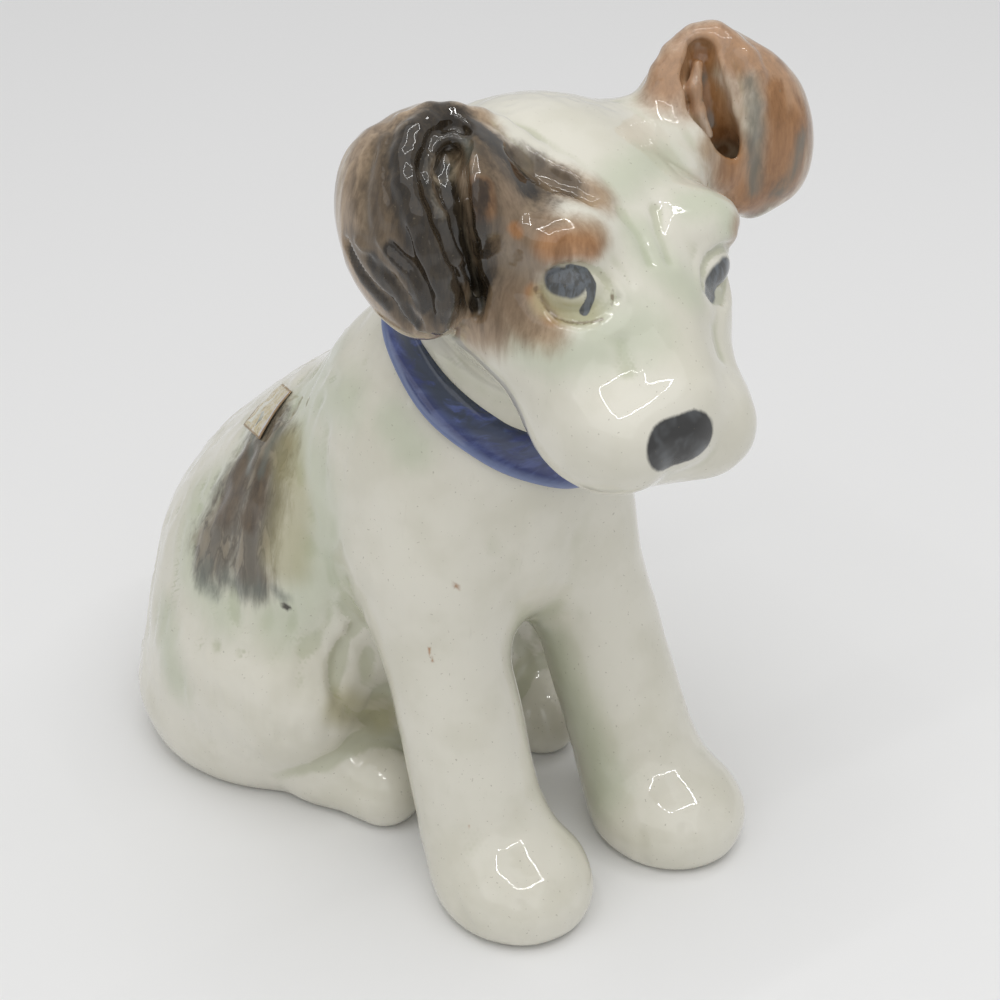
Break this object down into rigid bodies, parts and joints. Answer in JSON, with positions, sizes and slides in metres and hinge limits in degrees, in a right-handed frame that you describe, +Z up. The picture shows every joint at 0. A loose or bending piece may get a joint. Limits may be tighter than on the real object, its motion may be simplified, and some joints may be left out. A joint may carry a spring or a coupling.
{
  "type": "seated terrier puppy figurine",
  "caption": "Seated terrier puppy ornament in glazed ceramic, with painted patches, a hanging and a pricked ear and a blue collar.",
  "frame": {"origin": "on the table plane, under the middle of the seat", "axes": "+Z up, the puppy faces -Y, its right side is -X"},
  "size_m": [0.098, 0.128, 0.1462],
  "materials": {
    "glazed_body": "ivory clay under a clear, slightly crazed gloss glaze, with painted patches under it",
    "brown_patch": "dark brown and blue-grey brushwork under gloss glaze",
    "tan_patch": "orange-brown brushwork with grey streaks under gloss glaze",
    "collar_blue": "cobalt blue brushed on in streaks, pooling dark at the lower edge, under gloss glaze",
    "label_foil": "pale gold foil paper with a white border, no printing"
  },
  "bodies": {
    "root": {"body": "glazed_body", "head": "glazed_body", "right_ear": "brown_patch", "left_ear": "tan_patch", "right_foreleg": "glazed_body", "left_foreleg": "glazed_body", "right_hind_foot": "glazed_body", "left_hind_foot": "glazed_body", "tail": "glazed_body", "collar": "collar_blue", "back_label": "label_foil"}
  },
  "joints": []
}
